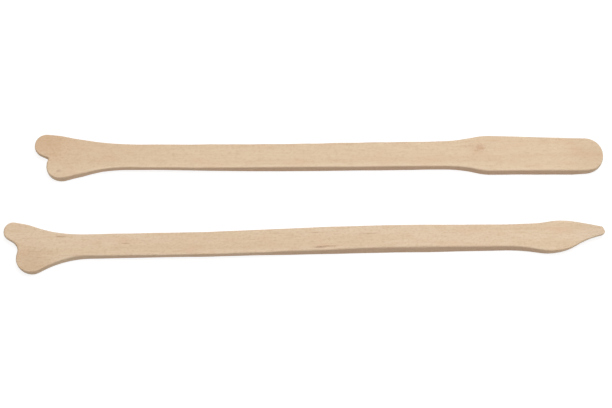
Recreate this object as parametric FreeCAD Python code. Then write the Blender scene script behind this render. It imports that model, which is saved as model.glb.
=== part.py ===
"""A pair of flat birch sticks for applying wax: one with a paddle blade, one with a spear blade.

Each stick is a single piece of wood, stamped from a 2 mm sheet and tumbled until its edges are round.
One end is a slanted heart of two round lobes, and the other end is the blade that gives the stick its name.
The two sticks lie loose, side by side on a table. Lengths are in millimetres and angles in degrees.
"""
import FreeCAD, Part
import math
import os
from collections import namedtuple
from FreeCAD import Vector

# Sheet and finish, the same for both sticks
SHEET_THICKNESS = 2.0
EDGE_ROUND = 0.3

# Paddle stick: overall length and shaft
PADDLE_STICK_LENGTH = 143.2
PADDLE_SHAFT_WIDTH_AT_HEART = 6.5
PADDLE_SHAFT_WIDTH_AT_BLADE = 7.2
# Its heart end: the long lobe has a round nose, a flatter crown and a straight underside down to the notch
PADDLE_NOSE_RADIUS = 2.94
PADDLE_NOSE_RISE = 3.52
PADDLE_CROWN_RADIUS = 5.6
PADDLE_CROWN_FROM_END = 5.5
PADDLE_CROWN_DROP = 0.36
PADDLE_LONG_NECK_RADIUS = 88.0
PADDLE_UNDERSIDE_SLANT = 26.3
PADDLE_NOTCH_RADIUS = 0.72
# The short lobe of the heart, set back from the nose
PADDLE_SHORT_LOBE_RADIUS = 3.87
PADDLE_SHORT_LOBE_DROP = 2.36
PADDLE_SHORT_LOBE_SETBACK = 3.13
PADDLE_SHORT_NECK_RADIUS = 42.4
# Its paddle blade, which narrows a little towards a round end
PADDLE_BLADE_WIDTH = 10.2
PADDLE_CREST_FROM_END = 28.5
PADDLE_CREST_RADIUS = 14.0
PADDLE_SHOULDER_RADIUS = 36.0
PADDLE_END_RADIUS = 4.7
PADDLE_END_DROP = 0.38

# Spear stick: overall length and shaft
SPEAR_STICK_LENGTH = 148.9
SPEAR_SHAFT_WIDTH_AT_HEART = 6.0
SPEAR_SHAFT_WIDTH_AT_BLADE = 6.3
# Its heart end, wider than the paddle stick's and with an open notch
SPEAR_NOSE_RADIUS = 2.28
SPEAR_NOSE_RISE = 4.59
SPEAR_CROWN_RADIUS = 7.05
SPEAR_CROWN_FROM_END = 4.07
SPEAR_CROWN_DROP = 0.56
SPEAR_LONG_NECK_RADIUS = 38.0
SPEAR_UNDERSIDE_SLANT = 33.9
SPEAR_NOTCH_RADIUS = 3.3
# The short lobe of the heart, set back from the nose
SPEAR_SHORT_LOBE_RADIUS = 4.02
SPEAR_SHORT_LOBE_DROP = 2.86
SPEAR_SHORT_LOBE_SETBACK = 3.25
SPEAR_SHORT_NECK_RADIUS = 26.0
# Its spear blade: a full belly below, a flatter back above, and a tip off the centre line
SPEAR_BELLY_DEPTH = 4.4
SPEAR_BELLY_FROM_TIP = 13.7
SPEAR_BELLY_RADIUS = 12.1
SPEAR_BELLY_ROOT_RADIUS = 45.0
SPEAR_FLANK_RADIUS = 20.0
SPEAR_TIP_RADIUS = 0.88
SPEAR_TIP_RISE = 1.17
SPEAR_BACK_HEIGHT = 3.8
SPEAR_BACK_FROM_TIP = 10.6
SPEAR_BACK_RADIUS = 19.9
SPEAR_BACK_ROOT_RADIUS = 26.4

# How the pair lies on the table
STICK_SPACING = 25.5
SPEAR_STICK_AHEAD = 6.49
PADDLE_STICK_TURN = 0.46
SPEAR_STICK_TURN = 1.49

# An outline is a closed loop of circles. Convex ones are wood, and hollow ones are cut away.
Circle = namedtuple("Circle", "x y radius turn")
CONVEX, HOLLOW = 1, -1
ABOVE, BELOW = 1, -1
TO_BLADE, TO_HEART = 1, -1
TOUCHING = 1e-4


def blend_to_shaft(bump, side, towards, shaft_width, radius):
    """Hollow circle that touches a convex bump and runs out tangent to the shaft's edge above or below.
    The shaft lies towards the blade or towards the heart, as seen from the bump."""
    y = side * (shaft_width / 2 + radius)
    along = math.sqrt((radius + bump.radius) ** 2 - (y - bump.y) ** 2)
    return Circle(bump.x + towards * along, y, radius, HOLLOW)


def bridge(first, second, radius):
    """Hollow circle that touches two convex circles, on the right-hand side going from first to second."""
    gap_x = second.x - first.x
    gap_y = second.y - first.y
    gap = math.hypot(gap_x, gap_y)
    reach = first.radius + radius
    along = (gap ** 2 + reach ** 2 - (second.radius + radius) ** 2) / (2 * gap)
    across = math.sqrt(reach ** 2 - along ** 2)
    x = first.x + (along * gap_x + across * gap_y) / gap
    y = first.y + (along * gap_y - across * gap_x) / gap
    return Circle(x, y, radius, HOLLOW)


def long_lobe(nose_radius, nose_rise, crown_radius, crown_from_end, crown_drop):
    """Nose at the very end of the heart, and crown whose top lies a little lower than the nose's."""
    nose = Circle(nose_radius, nose_rise, nose_radius, CONVEX)
    crown_y = nose_rise + nose_radius - crown_drop - crown_radius
    return nose, Circle(crown_from_end, crown_y, crown_radius, CONVEX)


def slanted_notch(nose, short_lobe, slant, radius):
    """Hollow circle that touches the short lobe and the line that runs down off the nose at the slant."""
    slant = math.radians(slant)
    down = Vector(math.cos(slant), -math.sin(slant), 0)
    out = Vector(-math.sin(slant), -math.cos(slant), 0)
    lobe = Vector(short_lobe.x, short_lobe.y, 0)
    level = out.dot(Vector(nose.x, nose.y, 0)) + nose.radius + radius
    short_of = math.sqrt((short_lobe.radius + radius) ** 2 - (level - out.dot(lobe)) ** 2)
    centre = out * level + down * (down.dot(lobe) - short_of)
    return Circle(centre.x, centre.y, radius, HOLLOW)


def tangent(first, second):
    """Where the line from first to second touches each circle, or one point where the circles touch."""
    gap = Vector(second.x - first.x, second.y - first.y, 0)
    lean = (second.turn * second.radius - first.turn * first.radius) / gap.Length
    along = gap.normalize()
    left = Vector(-along.y, along.x, 0)
    normal = along * lean + left * math.sqrt(max(0.0, 1 - lean ** 2))
    leave = Vector(first.x, first.y, 0) - normal * (first.turn * first.radius)
    join = Vector(second.x, second.y, 0) - normal * (second.turn * second.radius)
    if leave.distanceToPoint(join) < TOUCHING:
        join = leave
    return leave, join


def arc_between(circle, start, end):
    """Arc from start to end, counter-clockwise on a convex circle and clockwise on a hollow one."""
    begin = math.atan2(start.y - circle.y, start.x - circle.x)
    finish = math.atan2(end.y - circle.y, end.x - circle.x)
    sweep = (finish - begin) * circle.turn % (2 * math.pi)
    middle = begin + circle.turn * sweep / 2
    halfway = Vector(math.cos(middle), math.sin(middle), 0) * circle.radius
    return Part.Arc(start, halfway + Vector(circle.x, circle.y, 0), end).toShape()


def outline(circles):
    """Closed wire that passes round every circle in turn, with tangent lines where circles stand apart."""
    lines = [tangent(first, second) for first, second in zip(circles, circles[1:] + circles[:1])]
    edges = []
    for circle, arriving, leaving in zip(circles, lines[-1:] + lines[:-1], lines):
        edges.append(arc_between(circle, arriving[1], leaving[0]))
        if leaving[0] != leaving[1]:
            edges.append(Part.LineSegment(*leaving).toShape())
    return Part.Wire(edges)


def stamped(wire):
    """The outline stamped from the sheet, with every edge of both faces tumbled round."""
    blank = Part.Face(wire).extrude(Vector(0, 0, SHEET_THICKNESS))
    flats = [face for face in blank.Faces if abs(face.normalAt(0, 0).z) > 0.5]
    rims = [edge for face in flats for edge in face.Edges]
    return blank.makeFillet(EDGE_ROUND, rims).Solids[0]


def paddle_stick():
    """Heart at one end, and at the other a paddle that narrows from its shoulders to a round end."""
    nose, crown = long_lobe(
        PADDLE_NOSE_RADIUS, PADDLE_NOSE_RISE, PADDLE_CROWN_RADIUS, PADDLE_CROWN_FROM_END, PADDLE_CROWN_DROP
    )
    short_lobe = Circle(
        PADDLE_SHORT_LOBE_SETBACK + PADDLE_SHORT_LOBE_RADIUS,
        -PADDLE_SHORT_LOBE_DROP,
        PADDLE_SHORT_LOBE_RADIUS,
        CONVEX,
    )
    crest_x = PADDLE_STICK_LENGTH - PADDLE_CREST_FROM_END
    crest_y = PADDLE_BLADE_WIDTH / 2 - PADDLE_CREST_RADIUS
    upper_crest = Circle(crest_x, crest_y, PADDLE_CREST_RADIUS, CONVEX)
    lower_crest = Circle(crest_x, -crest_y, PADDLE_CREST_RADIUS, CONVEX)
    round_end = Circle(PADDLE_STICK_LENGTH - PADDLE_END_RADIUS, -PADDLE_END_DROP, PADDLE_END_RADIUS, CONVEX)
    return stamped(outline([
        blend_to_shaft(crown, ABOVE, TO_BLADE, PADDLE_SHAFT_WIDTH_AT_HEART, PADDLE_LONG_NECK_RADIUS),
        crown,
        nose,
        slanted_notch(nose, short_lobe, PADDLE_UNDERSIDE_SLANT, PADDLE_NOTCH_RADIUS),
        short_lobe,
        blend_to_shaft(short_lobe, BELOW, TO_BLADE, PADDLE_SHAFT_WIDTH_AT_HEART, PADDLE_SHORT_NECK_RADIUS),
        blend_to_shaft(lower_crest, BELOW, TO_HEART, PADDLE_SHAFT_WIDTH_AT_BLADE, PADDLE_SHOULDER_RADIUS),
        lower_crest,
        round_end,
        upper_crest,
        blend_to_shaft(upper_crest, ABOVE, TO_HEART, PADDLE_SHAFT_WIDTH_AT_BLADE, PADDLE_SHOULDER_RADIUS),
    ]))


def spear_stick():
    """Heart at one end, and at the other a spear with a full belly, a flatter back and a small round tip."""
    nose, crown = long_lobe(
        SPEAR_NOSE_RADIUS, SPEAR_NOSE_RISE, SPEAR_CROWN_RADIUS, SPEAR_CROWN_FROM_END, SPEAR_CROWN_DROP
    )
    short_lobe = Circle(
        SPEAR_SHORT_LOBE_SETBACK + SPEAR_SHORT_LOBE_RADIUS,
        -SPEAR_SHORT_LOBE_DROP,
        SPEAR_SHORT_LOBE_RADIUS,
        CONVEX,
    )
    belly = Circle(
        SPEAR_STICK_LENGTH - SPEAR_BELLY_FROM_TIP,
        SPEAR_BELLY_RADIUS - SPEAR_BELLY_DEPTH,
        SPEAR_BELLY_RADIUS,
        CONVEX,
    )
    back = Circle(
        SPEAR_STICK_LENGTH - SPEAR_BACK_FROM_TIP,
        SPEAR_BACK_HEIGHT - SPEAR_BACK_RADIUS,
        SPEAR_BACK_RADIUS,
        CONVEX,
    )
    tip = Circle(SPEAR_STICK_LENGTH - SPEAR_TIP_RADIUS, SPEAR_TIP_RISE, SPEAR_TIP_RADIUS, CONVEX)
    return stamped(outline([
        blend_to_shaft(crown, ABOVE, TO_BLADE, SPEAR_SHAFT_WIDTH_AT_HEART, SPEAR_LONG_NECK_RADIUS),
        crown,
        nose,
        slanted_notch(nose, short_lobe, SPEAR_UNDERSIDE_SLANT, SPEAR_NOTCH_RADIUS),
        short_lobe,
        blend_to_shaft(short_lobe, BELOW, TO_BLADE, SPEAR_SHAFT_WIDTH_AT_HEART, SPEAR_SHORT_NECK_RADIUS),
        blend_to_shaft(belly, BELOW, TO_HEART, SPEAR_SHAFT_WIDTH_AT_BLADE, SPEAR_BELLY_ROOT_RADIUS),
        belly,
        bridge(belly, tip, SPEAR_FLANK_RADIUS),
        tip,
        back,
        blend_to_shaft(back, ABOVE, TO_HEART, SPEAR_SHAFT_WIDTH_AT_BLADE, SPEAR_BACK_ROOT_RADIUS),
    ]))


# Both sticks on the table as they lie, with the origin under the middle of the pair
paddle = paddle_stick()
paddle.rotate(Vector(0, 0, 0), Vector(0, 0, 1), PADDLE_STICK_TURN)
spear = spear_stick()
spear.rotate(Vector(0, 0, 0), Vector(0, 0, 1), SPEAR_STICK_TURN)
spear.translate(Vector(-SPEAR_STICK_AHEAD, -STICK_SPACING, 0))
middle = Part.makeCompound([paddle, spear]).optimalBoundingBox(False).Center

os.makedirs("parts", exist_ok=True)
for name, stick in (("paddle_stick", paddle), ("spear_stick", spear)):
    stick.translate(Vector(-middle.x, -middle.y, 0))
    stick.exportStep(f"parts/{name}.step")
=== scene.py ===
import math
import bmesh
import bpy
import numpy as np
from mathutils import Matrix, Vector


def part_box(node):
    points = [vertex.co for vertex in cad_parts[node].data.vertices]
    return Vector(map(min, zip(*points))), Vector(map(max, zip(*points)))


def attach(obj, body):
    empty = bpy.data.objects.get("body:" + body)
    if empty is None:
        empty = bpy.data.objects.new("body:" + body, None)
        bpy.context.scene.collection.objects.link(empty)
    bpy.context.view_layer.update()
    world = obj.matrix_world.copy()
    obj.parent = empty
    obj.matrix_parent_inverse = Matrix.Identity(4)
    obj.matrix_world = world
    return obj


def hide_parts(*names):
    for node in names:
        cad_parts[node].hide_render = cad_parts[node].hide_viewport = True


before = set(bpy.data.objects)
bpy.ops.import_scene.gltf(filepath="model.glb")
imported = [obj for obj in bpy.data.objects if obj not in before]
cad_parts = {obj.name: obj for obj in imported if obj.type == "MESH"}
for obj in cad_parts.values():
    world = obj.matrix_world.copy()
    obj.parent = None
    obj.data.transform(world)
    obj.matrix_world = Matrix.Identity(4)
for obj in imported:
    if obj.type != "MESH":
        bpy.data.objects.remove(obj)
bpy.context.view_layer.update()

# Paddle stick. The real one is a single strip of pale birch about 2 mm thick, stamped to its outline by a die
# and then tumbled in a drum, which rounds the edges unevenly. It has no coating and lies loose on the table.
MM = 0.001
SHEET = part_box("paddle_stick")[1].z
# The part of the wall, as shares of the sheet's height, whose corners lie on the full outline.
RIM_SHARES = (0.5, 0.88)
SAME_POINT = 0.01 * MM
CURVE_STEPS = 48
SHAFT_STEP = 0.4 * MM
HEART_STEPS = 260
BLADE_STEPS = 90
# The length that a turn of one radian about an end of the spine counts for.
TURN_REACH = 5 * MM


def stick_loop(node, heart, blade):
    """Outline of a CAD stick, and the point of its spine that each step of it belongs to.
    The spine runs from a point inside the heart to one inside the blade's end. The rim of the CAD wall is
    put in order by its travel round the spine: an angle about each end, and a length along each side.
    Between two rim points the curve is a cubic that passes each point parallel to the line through its
    neighbours. The curve is read off at even angles round the ends and even lengths along both sides."""
    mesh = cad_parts[node].data
    corners = np.empty(3 * len(mesh.vertices), np.float32)
    mesh.vertices.foreach_get("co", corners)
    corners = corners.reshape(-1, 3).astype(float)
    height = corners[:, 2] / SHEET
    rim = np.unique(corners[(height > RIM_SHARES[0]) & (height < RIM_SHARES[1]), :2].round(7), axis=0)

    length = np.linalg.norm(blade - heart)
    ahead = (blade - heart) / length
    left = np.array((-ahead[1], ahead[0]))

    def travel(points):
        rest = points - heart
        foot = np.clip(rest @ ahead, 0, length)
        angle = np.arctan2(rest @ left, rest @ ahead - foot) % (2 * np.pi)
        return angle * TURN_REACH + np.where(angle <= np.pi, length - foot, length + foot)

    rim = rim[np.argsort(travel(rim))]
    rim = rim[np.linalg.norm(np.roll(rim, -1, 0) - rim, axis=1) > SAME_POINT]
    after = np.roll(rim, -1, 0)
    chord = np.linalg.norm(after - rim, axis=1, keepdims=True)
    heading = after - np.roll(rim, 1, 0)
    heading /= np.linalg.norm(heading, axis=1, keepdims=True)
    t = np.linspace(0, 1, CURVE_STEPS, endpoint=False)[:, None, None]
    curve = (2 * t**3 - 3 * t**2 + 1) * rim + (3 * t**2 - 2 * t**3) * after
    curve += chord * ((t**3 - 2 * t**2 + t) * heading + (t**3 - t**2) * np.roll(heading, -1, 0))
    curve = curve.reshape(-1, 2)

    foot = np.linspace(0, length, round(length / SHAFT_STEP))
    round_heart = np.linspace(0.5 * np.pi, 1.5 * np.pi, HEART_STEPS)[1:-1]
    round_blade = np.linspace(-0.5 * np.pi, 0.5 * np.pi, BLADE_STEPS)[1:-1]
    steps = np.concatenate((
        0.5 * np.pi * TURN_REACH + length - foot[::-1],
        round_heart * TURN_REACH + length,
        1.5 * np.pi * TURN_REACH + length + foot,
        round_blade % (2 * np.pi) * TURN_REACH + np.where(round_blade < 0, 2 * length, 0),
    ))
    feet = np.concatenate((foot[::-1], 0 * round_heart, foot, 0 * round_blade + length))
    lap = 2 * np.pi * TURN_REACH + 2 * length
    loop = [np.interp(steps, travel(curve), curve[:, axis], period=lap) for axis in (0, 1)]
    return np.stack(loop, 1), heart + feet[:, None] * ahead


def ripple(share, cycles, seed):
    """Uneven wave of about plus or minus one round the outline: the sum of sine waves that each fit a whole
    number of times into the loop and start at a random place."""
    start = np.random.default_rng(seed).uniform(0, 2 * np.pi, len(cycles))
    return np.sin(2 * np.pi * np.outer(share, cycles) + start).sum(1) / np.sqrt(len(cycles))


ROUND_STEPS = 9
WALL_STEPS = 10
FACE_STEPS = 14
TOP_ROUND = 0.38 * MM
BOTTOM_ROUND = 0.24 * MM
ROUND_SWING = 0.06 * MM
RIM_NARROWNESS = 8
WALL_BELLY = 0.03 * MM
TORN_SWING = 0.025 * MM
SLOW_CYCLES = np.arange(9, 40)
TORN_CYCLES = np.arange(120, 330)
# How far the drum wore the heart's end back, in mm, and how near two points of the spine count as one.
HEART_WEAR = 0.08
WELD = 0.0001 * MM


def stick_surface(loop, spine, edges, seed):
    """Skin of a stick: one profile carried round the outline. The profile starts on the spine, runs out over
    the upper face, turns down a quarter circle whose radius wanders along the edge, goes down a wall that
    bellies out a little and is torn in its lower half, turns under and comes back to the spine. The edges
    table is read along straight lines between its stations: the profile is moved out where it faces the far
    or the near side, the top of the near wall is set back, and the heart end is worn down all round. It
    returns the grid of points, and for each one how far it belongs to the cut wall, whose darker colour is
    partly painted shade, less the share that takes the faces' colour, how far the grain there is cut across,
    and how far it belongs to the near rim of the upper face, where a painted highlight is laid."""
    stride = np.linalg.norm(np.roll(loop, -1, 0) - loop, axis=1)
    share = (np.cumsum(stride) - stride) / stride.sum()
    along = np.roll(loop, -1, 0) - np.roll(loop, 1, 0)
    outward = np.stack((along[:, 1], -along[:, 0]), 1)
    outward /= np.linalg.norm(outward, axis=1, keepdims=True)
    top = (TOP_ROUND + ROUND_SWING * ripple(share, SLOW_CYCLES, seed))[:, None]
    bottom = (BOTTOM_ROUND + 0.5 * ROUND_SWING * ripple(share, SLOW_CYCLES, seed + 1))[:, None]
    turn = np.linspace(0, 0.5 * np.pi, ROUND_STEPS)
    down = np.linspace(0, 1, WALL_STEPS + 2)[1:-1]
    out = np.linspace(0, 1, FACE_STEPS, endpoint=False)
    flat = 0 * out
    torn = TORN_SWING * ripple(share, TORN_CYCLES, seed + 2)[:, None] * np.sin(np.pi * down**2)
    inset = np.concatenate((
        top * (1 + flat),
        top * (1 - np.sin(turn)),
        torn - WALL_BELLY * np.sin(np.pi * down),
        bottom * (1 - np.sin(turn[::-1])),
        bottom * (1 + flat),
    ), axis=1)
    height = np.concatenate((
        SHEET + 0 * top * flat,
        SHEET - top * (1 - np.cos(turn)),
        SHEET - top - (SHEET - top - bottom) * down,
        bottom * (1 - np.cos(turn[::-1])),
        0 * bottom * flat,
    ), axis=1)
    stations, *columns = np.array(edges).T
    far_out, near_out, near_lean, pale = (np.interp(loop[:, 0] / MM, stations, column) for column in columns)
    far = np.clip(outward[:, 1], 0, 1)
    near = np.clip(-outward[:, 1], 0, 1)
    heart_side = np.clip(-outward[:, 0], 0, 1)
    inset += MM * (near_lean * near)[:, None] * height / SHEET
    inset += MM * (HEART_WEAR * heart_side - far_out * far - near_out * near)[:, None]
    pull = np.concatenate((1 - out, 0 * turn, 0 * down, 0 * turn, 1 - out[::-1]))[:, None]
    flat_grid = loop[:, None] - outward[:, None] * inset[:, :, None]
    flat_grid = flat_grid + (spine[:, None] - flat_grid) * pull
    grid = np.concatenate((flat_grid, height[:, :, None]), axis=2)
    cut = np.concatenate((flat, np.sin(turn) ** 4, 1 + 0 * down, np.sin(turn[::-1]) ** 2, flat))
    ahead = spine[np.argmax(spine[:, 0])] - spine[np.argmin(spine[:, 0])]
    across = np.abs(outward @ ahead) / np.linalg.norm(ahead)
    # Near rim of the upper face: the material lays a painted highlight along this rounded edge.
    rim = np.concatenate((out**RIM_NARROWNESS, np.cos(turn) ** 2, 0 * down, 0 * turn, flat))
    return grid, {
        "cut": np.outer(1 - pale, cut),
        "across": np.outer(across, cut),
        "rim": np.outer(near, rim),
    }


def stick_piece(name, grid, attributes):
    """Object from a grid that closes on itself round the outline and meets itself along the spine: each cell
    of the grid is a face, and points that fall on each other are made one."""
    rounds, rows = grid.shape[:2]
    here = np.arange(rounds * rows).reshape(rounds, rows)
    after = np.roll(here, -1, 0)
    quads = np.stack((here[:, :-1], here[:, 1:], after[:, 1:], after[:, :-1]), 2).reshape(-1, 4)
    mesh = bpy.data.meshes.new(name)
    mesh.from_pydata(grid.reshape(-1, 3), [], quads)
    for label, values in attributes.items():
        attribute = mesh.attributes.new(label, "FLOAT", "POINT")
        attribute.data.foreach_set("value", values.ravel())
    welded = bmesh.new()
    welded.from_mesh(mesh)
    bmesh.ops.remove_doubles(welded, verts=welded.verts, dist=WELD)
    welded.to_mesh(mesh)
    welded.free()
    mesh.shade_smooth()
    piece = bpy.data.objects.new(name, mesh)
    bpy.context.scene.collection.objects.link(piece)
    return piece


def linear(hex_colour):
    """Linear colour from sRGB hex digits: a straight line for the darkest, and above it a power of 2.4."""
    srgb = np.array([int(hex_colour[k : k + 2], 16) for k in (0, 2, 4)]) / 255
    return (*np.where(srgb <= 0.04045, srgb / 12.92, ((srgb + 0.055) / 1.055) ** 2.4), 1.0)


def add(tree, kind, sockets, **settings):
    """Adds a node with its settings. A socket takes a number, a colour, a vector or another node's output.
    A Mix node mixes colours 6 and 7 into output 2, and numbers 2 and 3 into output 0."""
    node = tree.nodes.new(kind)
    for name, value in settings.items():
        setattr(node, name, value)
    for key, value in sockets.items():
        if isinstance(value, bpy.types.NodeSocket):
            tree.links.new(value, node.inputs[key])
        else:
            node.inputs[key].default_value = value
    return node


# Length and width of each figure in mm, noise detail, colour, the noise range that it takes and its strength.
# They are wide bands, pinkish patches, dark fibres, pale fibres, pores and flecks.
# Real pores are about 0.1 mm wide and wouldn't show, so fibres and pores are drawn two to four times as wide.
BIRCH_FIGURE = (
    (48.0, 2.6, 2.0, "D4B28A", 0.40, 0.72, 0.36),
    (9.0, 3.2, 2.0, "DFB593", 0.48, 0.80, 0.46),
    (4.0, 0.50, 3.0, "CEA981", 0.45, 0.85, 0.42),
    (4.0, 0.60, 3.0, "EFD8BA", 0.52, 0.85, 0.40),
    (2.0, 0.32, 2.0, "B28E67", 0.60, 0.80, 0.35),
    (0.7, 0.45, 1.0, "C9A57D", 0.42, 0.78, 0.40),
)
DARK_FIBRES = 2
# Wall colours: darker than the faces, partly for the fibres that the die cut and tore and partly as painted
# shade on walls turned away from the soft box.
CUT_WALL_TONE_AND_SHADE = "D8B496"
END_GRAIN_TONE_AND_SHADE = "D0A98A"
# Painted highlight: the paler colour laid along the near rounded edge of the upper face, where that edge
# meets the soft box's light.
PAINTED_RIM_HIGHLIGHT = "F2DDC2"
BIRCH_IOR = 1.5
# Roughness between the fibres and on them, and the depth of the relief that they give.
BIRCH_ROUGHNESS = (0.56, 0.70)
RELIEF = 0.04 * MM
# Width and height in mm of the strands that the die tore out of the wall.
TORN_STRAND = (0.35, 2.5)
# Grain in mm of a mark's ragged edge, how far it frays, and the reaches at which a mark ends and is full.
FRAY_GRAIN = 0.5
FRAY = 1.2
MARK_REACH = (1.7, 0.8)


def tumbled_birch(name, ground, figure, rim_highlight, marks, heart, blade, seed):
    """Material of bare birch, stamped and tumbled: a pale even ground with faint straight figure along the
    stick, fine fibres, short pores, a soft sheen, a painted highlight along the near rim of the upper face,
    and darker walls, partly for the fibres that the die cut and tore and partly as painted shade.
    Each figure is a noise stretched along the grain, whose range sets how far its colour is mixed in. Each
    mark is an oval that multiplies the colour by its tint, and fades where its reach, frayed by a noise,
    nears its edge."""
    material = bpy.data.materials.new(name)
    material.use_nodes = True
    tree = material.node_tree
    tree.nodes.clear()
    slant = math.atan2(blade[1] - heart[1], blade[0] - heart[0])
    place = add(tree, "ShaderNodeTexCoord", {}).outputs["Object"]
    # Each stick is cut from its own place in the wood, and its grain runs along its spine.
    grain = add(tree, "ShaderNodeMapping", {
        "Vector": place,
        "Location": (37.0 * seed, 11.0 * seed, 5.0 * seed),
        "Rotation": (0, 0, -slant),
        "Scale": (1 / MM, 1 / MM, 1 / MM),
    }).outputs["Vector"]

    colour = linear(ground)
    noises = []
    for length, width, detail, tint, low, high, strength in BIRCH_FIGURE:
        stretched = add(tree, "ShaderNodeMapping", {
            "Vector": grain,
            "Location": (3.1 * length, 7.7 * width, detail),
            "Scale": (1 / length, 1 / width, 1 / width),
        })
        noise = add(tree, "ShaderNodeTexNoise", {
            "Vector": stretched.outputs["Vector"],
            "Scale": 1.0,
            "Detail": detail,
        }).outputs["Fac"]
        amount = add(tree, "ShaderNodeMapRange", {
            "Value": noise,
            "From Min": low,
            "From Max": high,
            "To Min": 0.0,
            "To Max": figure * strength,
        }, interpolation_type="SMOOTHSTEP").outputs["Result"]
        colour = add(tree, "ShaderNodeMix", {
            "Factor": amount,
            6: colour,
            7: linear(tint),
        }, data_type="RGBA").outputs[2]
        noises.append(noise)
    fibre = noises[DARK_FIBRES]

    # Painted highlight along the near rim of the upper face, mixed in by the rim share.
    rim = add(tree, "ShaderNodeAttribute", {}, attribute_name="rim").outputs["Fac"]
    rim_highlight_share = add(tree, "ShaderNodeMath", {0: rim, 1: rim_highlight}, operation="MULTIPLY").outputs["Value"]
    colour = add(tree, "ShaderNodeMix", {
        "Factor": rim_highlight_share,
        6: colour,
        7: linear(PAINTED_RIM_HIGHLIGHT),
    }, data_type="RGBA").outputs[2]

    ragged = add(tree, "ShaderNodeTexNoise", {
        "Vector": grain,
        "Scale": 1 / FRAY_GRAIN,
        "Detail": 2.0,
    }).outputs["Fac"]
    for x, y, length, width, tint, strength in marks:
        spot = add(tree, "ShaderNodeMapping", {
            "Vector": place,
            "Location": (x * MM, y * MM, SHEET),
            "Rotation": (0, 0, slant),
            "Scale": (0.5 * length * MM, 0.5 * width * MM, 0.5 * width * MM),
        }, vector_type="TEXTURE").outputs["Vector"]
        reach = add(tree, "ShaderNodeVectorMath", {0: spot}, operation="LENGTH").outputs["Value"]
        frayed = add(tree, "ShaderNodeMath", {0: ragged, 1: FRAY, 2: reach}, operation="MULTIPLY_ADD")
        amount = add(tree, "ShaderNodeMapRange", {
            "Value": frayed.outputs["Value"],
            "From Min": MARK_REACH[0],
            "From Max": MARK_REACH[1],
            "To Min": 0.0,
            "To Max": strength,
        }, interpolation_type="SMOOTHSTEP").outputs["Result"]
        colour = add(tree, "ShaderNodeMix", {
            "Factor": amount,
            6: colour,
            7: linear(tint),
        }, data_type="RGBA", blend_type="MULTIPLY").outputs[2]

    cut = add(tree, "ShaderNodeAttribute", {}, attribute_name="cut").outputs["Fac"]
    across = add(tree, "ShaderNodeAttribute", {}, attribute_name="across").outputs["Fac"]
    strand_width, strand_height = TORN_STRAND
    strands = add(tree, "ShaderNodeMapping", {
        "Vector": grain,
        "Scale": (1 / strand_width, 1 / strand_width, 1 / strand_height),
    })
    torn = add(tree, "ShaderNodeTexNoise", {
        "Vector": strands.outputs["Vector"],
        "Scale": 1.0,
        "Detail": 3.0,
    }).outputs["Fac"]
    # The walls take a darker colour: partly the torn fibres' own colour and partly painted shade.
    wall = add(tree, "ShaderNodeMix", {
        "Factor": across,
        6: linear(CUT_WALL_TONE_AND_SHADE),
        7: linear(END_GRAIN_TONE_AND_SHADE),
    }, data_type="RGBA").outputs[2]
    wall = add(tree, "ShaderNodeMix", {
        "Factor": add(tree, "ShaderNodeMapRange", {
            "Value": torn,
            "From Min": 0.35,
            "From Max": 0.75,
            "To Min": 0.0,
            "To Max": 0.5,
        }).outputs["Result"],
        6: wall,
        7: colour,
    }, data_type="RGBA").outputs[2]
    colour = add(tree, "ShaderNodeMix", {"Factor": cut, 6: colour, 7: wall}, data_type="RGBA").outputs[2]

    relief = add(tree, "ShaderNodeMix", {"Factor": cut, 2: fibre, 3: torn}, data_type="FLOAT").outputs[0]
    bump = add(tree, "ShaderNodeBump", {"Height": relief, "Strength": 0.5, "Distance": RELIEF})
    roughness = add(tree, "ShaderNodeMapRange", {
        "Value": fibre,
        "From Min": 0.3,
        "From Max": 0.7,
        "To Min": BIRCH_ROUGHNESS[0],
        "To Max": BIRCH_ROUGHNESS[1],
    }).outputs["Result"]
    surface = add(tree, "ShaderNodeBsdfPrincipled", {
        "Base Color": colour,
        "Roughness": roughness,
        "IOR": BIRCH_IOR,
        "Normal": bump.outputs["Normal"],
    })
    add(tree, "ShaderNodeOutputMaterial", {"Surface": surface.outputs["BSDF"]})
    return material


PADDLE_HEART = np.array((-59.8, 13.9)) * MM
PADDLE_BLADE = np.array((70.2, 13.6)) * MM
PADDLE_SEED = 1
PADDLE_GROUND = "E2C8A8"
PADDLE_FIGURE = 0.76
# Strength of the painted highlight along the near rim.
PADDLE_RIM_HIGHLIGHT = 0.24
# Place, length and width of each mark in mm, its tint and its strength: a pin knot, its halo and its tail,
# a speck on the short lobe, a tanned long lobe, a faintly tanned heart end, and a tanned end of the blade.
PADDLE_MARKS = (
    (44.0, 15.4, 3.2, 2.4, "CFA085", 0.27),
    (43.2, 15.4, 6.5, 4.2, "E6CCBC", 0.26),
    (41.0, 16.0, 4.0, 0.8, "CBA893", 0.18),
    (-61.9, 8.7, 1.6, 1.1, "BFA79A", 0.34),
    (-65.5, 16.6, 17.0, 12.0, "F5EBE2", 0.70),
    (-54.0, 20.5, 70.0, 26.0, "F5EBE2", 0.42),
    (73.0, 13.0, 17.0, 22.0, "F0ECE7", 0.55),
)
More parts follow.
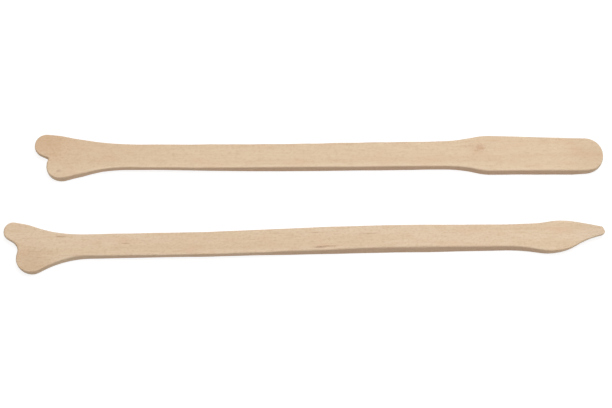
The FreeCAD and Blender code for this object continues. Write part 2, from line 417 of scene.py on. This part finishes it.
# How the die and the drum left the edges: a station along the stick, how far the far edge and the near edge
# stand out from the drawn outline there, how far the top of the near wall is set back, all in mm, and what
# share of the wall takes the faces' colour in place of the darker wall colour, which is partly painted shade.
PADDLE_EDGES = (
    (-68, -0.06, -0.1, -0.6, 0.9),
    (-64, 0, -0.05, -0.42, 0.8),
    (-61, 0.07, -0.02, 0.12, 0.5),
    (-56, 0.08, 0.18, -0.12, 0.5),
    (-51, 0.05, -0.18, -0.34, 0.2),
    (-45, 0.11, -0.19, -0.32, 0.1),
    (-38, 0.13, -0.2, -0.38, 0.1),
    (-28, -0.01, 0, -0.37, 0),
    (-18, -0.03, 0.24, -0.05, 0),
    (-8, -0.17, 0.33, 0.11, 0),
    (2, -0.09, 0.29, 0.14, 0),
    (12, 0.04, 0.19, 0, 0),
    (22, 0.06, 0.12, 0.12, 0),
    (31, 0.06, -0.01, -0.05, 0),
    (36, 0.19, -0.08, -0.13, 0),
    (41, 0.27, 0, 0.14, 0),
    (46, 0.11, 0.08, 0.15, 0),
    (54, 0.02, 0.07, 0.18, 0),
    (62, 0, 0.14, 0.19, 0),
    (67, -0.08, 0.22, 0.22, 0),
    (71, 0.02, -0.04, -0.07, 0.5),
    (74, 0.05, -0.05, -0.5, 1),
)

loop, spine = stick_loop("paddle_stick", PADDLE_HEART, PADDLE_BLADE)
grid, attributes = stick_surface(loop, spine, PADDLE_EDGES, PADDLE_SEED)
paddle = stick_piece("tumbled_paddle_stick", grid, attributes)
birch = tumbled_birch(
    "tumbled_birch_paddle",
    PADDLE_GROUND, PADDLE_FIGURE, PADDLE_RIM_HIGHLIGHT, PADDLE_MARKS, PADDLE_HEART, PADDLE_BLADE, PADDLE_SEED,
)
paddle.data.materials.append(birch)
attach(paddle, "paddle_stick")
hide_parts("paddle_stick")

# Spear stick. It is stamped and tumbled from the same sheet of birch. The far edge of its shaft swells by a
# fraction of a millimetre past the middle, where the die left it a little wider. It lies loose as well.
SPEAR_HEART = np.array((-65.8, -11.6)) * MM
SPEAR_BLADE = np.array((73.15, -7.6)) * MM
SPEAR_SEED = 4
SPEAR_GROUND = "E3CAAC"
SPEAR_FIGURE = 0.95
# Strength of the painted highlight along the near rim.
SPEAR_RIM_HIGHLIGHT = 0.03
# The same columns as for the paddle stick.
SPEAR_EDGES = (
    (-73, 0, -0.12, -0.6, 0.9),
    (-69.5, 0.03, -0.07, -0.48, 1),
    (-67, 0.07, 0.04, -0.27, 0.9),
    (-62, -0.02, -0.1, -0.23, 0.9),
    (-57, 0.05, -0.08, 0.03, 0.7),
    (-51, 0.07, -0.03, -0.16, 0.3),
    (-44, 0.08, -0.03, -0.27, 0.1),
    (-34, -0.01, -0.02, -0.38, 0.1),
    (-24, -0.08, 0.09, -0.31, 0.2),
    (-14, 0.17, 0.01, -0.32, 0.2),
    (-4, 0.34, 0.08, 0.06, 0.1),
    (6, 0.55, 0.1, 0.22, 0),
    (14, 0.6, 0.11, 0.58, 0.1),
    (22, 0.6, 0.09, 0.57, 0.1),
    (30, 0.49, 0.24, 0.65, 0.1),
    (38, 0.24, 0.17, 0.42, 0),
    (46, 0.1, 0.19, 0.29, 0),
    (52, -0.02, 0.17, 0.26, 0),
    (57, 0.13, 0.15, 0.06, 0),
    (62, 0.09, 0.01, -0.28, 0.6),
    (67, 0.03, -0.02, -0.8, 1),
    (73, -0.02, 0.07, -0.8, 1),
)
# A gum streak of two lines near the front edge of the shaft, fainter streaks along the grain, a tanned short
# lobe and a tanned tip.
SPEAR_MARKS = (
    (3.5, -12.75, 4.0, 0.60, "B3958A", 0.60),
    (5.6, -12.45, 5.6, 0.48, "B3958A", 0.50),
    (2.3, -8.7, 2.8, 0.50, "BF9C86", 0.35),
    (15.0, -9.0, 7.0, 0.45, "BF9C86", 0.28),
    (-60.6, -9.8, 3.8, 0.6, "BF9C86", 0.48),
    (-44.4, -11.7, 2.8, 0.6, "BF9C86", 0.45),
    (-67.5, -16.8, 15.0, 12.0, "F2EBE4", 0.85),
    (73.0, -7.0, 16.0, 16.0, "F0F6FF", 0.35),
)

loop, spine = stick_loop("spear_stick", SPEAR_HEART, SPEAR_BLADE)
grid, attributes = stick_surface(loop, spine, SPEAR_EDGES, SPEAR_SEED)
spear = stick_piece("tumbled_spear_stick", grid, attributes)
birch = tumbled_birch(
    "tumbled_birch_spear",
    SPEAR_GROUND, SPEAR_FIGURE, SPEAR_RIM_HIGHLIGHT, SPEAR_MARKS, SPEAR_HEART, SPEAR_BLADE, SPEAR_SEED,
)
spear.data.materials.append(birch)
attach(spear, "spear_stick")
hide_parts("spear_stick")

# Table and backdrop. A wide sheet of matt white paper lies under the sticks in a white studio. Seen directly,
# or in a reflection, it is lifted to white, and what the sticks shade stays a little darker.
FLOOR_HALF = 4.0
FLOOR_DROP = 0.02 * MM
FLOOR_PAPER = "EFEEEC"
FLOOR_LIFT = 0.72
FLOOR_WHITE = 1.2

floor_mesh = bpy.data.meshes.new("paper_floor")
side = FLOOR_HALF * np.array(((-1, -1), (1, -1), (1, 1), (-1, 1)))
floor_mesh.from_pydata(np.column_stack((side, np.full(4, -FLOOR_DROP))), [], [(0, 1, 2, 3)])
floor = bpy.data.objects.new("paper_floor", floor_mesh)
bpy.context.scene.collection.objects.link(floor)
# Uncoated white card, rolled smooth but without gloss.
paper = bpy.data.materials.new("matt_white_paper")
paper.use_nodes = True
tree = paper.node_tree
tree.nodes.clear()
path = add(tree, "ShaderNodeLightPath", {}).outputs
seen = path["Is Camera Ray"]
for ray in ("Is Glossy Ray", "Is Transmission Ray"):
    seen = add(tree, "ShaderNodeMath", {0: seen, 1: path[ray]}, operation="MAXIMUM").outputs["Value"]
lift = add(tree, "ShaderNodeMath", {0: seen, 1: FLOOR_LIFT}, operation="MULTIPLY")
matt = add(tree, "ShaderNodeBsdfDiffuse", {"Color": linear(FLOOR_PAPER)})
glow = add(tree, "ShaderNodeEmission", {"Color": (1, 1, 1, 1), "Strength": FLOOR_WHITE})
mixed = add(tree, "ShaderNodeMixShader", {
    0: lift.outputs["Value"],
    1: matt.outputs["BSDF"],
    2: glow.outputs["Emission"],
})
add(tree, "ShaderNodeOutputMaterial", {"Surface": mixed.outputs["Shader"]})
floor_mesh.materials.append(paper)

WORLD_FILL = 0.25
world = bpy.data.worlds.new("white_studio")
bpy.context.scene.world = world
world.use_nodes = True
tree = world.node_tree
tree.nodes.clear()
path = add(tree, "ShaderNodeLightPath", {}).outputs
seen = path["Is Camera Ray"]
for ray in ("Is Glossy Ray", "Is Transmission Ray"):
    seen = add(tree, "ShaderNodeMath", {0: seen, 1: path[ray]}, operation="MAXIMUM").outputs["Value"]
strength = add(tree, "ShaderNodeMapRange", {"Value": seen, "To Min": WORLD_FILL, "To Max": 1.0})
backdrop = add(tree, "ShaderNodeBackground", {"Color": (1, 1, 1, 1), "Strength": strength.outputs["Result"]})
add(tree, "ShaderNodeOutputWorld", {"Surface": backdrop.outputs["Background"]})

# Light and camera. One large soft box overhead, a little behind the sticks and towards their blades, leaves
# the walls that face the camera in half shade. The camera looks down along +Y with a long lens, as the photo
# does.
LAMP_PLACE = Vector((0.2, 0.22, 0.87))
LAMP_SIDE = 0.7
LAMP_WATTS = 6.9
lamp = bpy.data.lights.new("soft_box", "AREA")
lamp.energy = LAMP_WATTS
lamp.size = LAMP_SIDE
soft_box = bpy.data.objects.new("soft_box", lamp)
soft_box.location = LAMP_PLACE
soft_box.rotation_euler = (-LAMP_PLACE).to_track_quat("-Z", "Y").to_euler()
bpy.context.scene.collection.objects.link(soft_box)

PHOTO_WIDTH = 612
PIXELS_PER_MM = 4.0
VIEW_TARGET = Vector((0.13, 0.38, 0.0)) * MM
VIEW_DISTANCE = 0.65
VIEW_ELEVATION = math.radians(62)
camera_data = bpy.data.cameras.new("long_lens")
camera_data.sensor_width = 36.0
camera_data.lens = camera_data.sensor_width * PIXELS_PER_MM * VIEW_DISTANCE / MM / PHOTO_WIDTH
camera = bpy.data.objects.new("long_lens", camera_data)
back = Vector((0, -math.cos(VIEW_ELEVATION), math.sin(VIEW_ELEVATION)))
camera.location = VIEW_TARGET + back * VIEW_DISTANCE
camera.rotation_euler = (-back).to_track_quat("-Z", "Y").to_euler()
bpy.context.scene.collection.objects.link(camera)
bpy.context.scene.camera = camera
bpy.context.scene.view_settings.view_transform = "Standard"
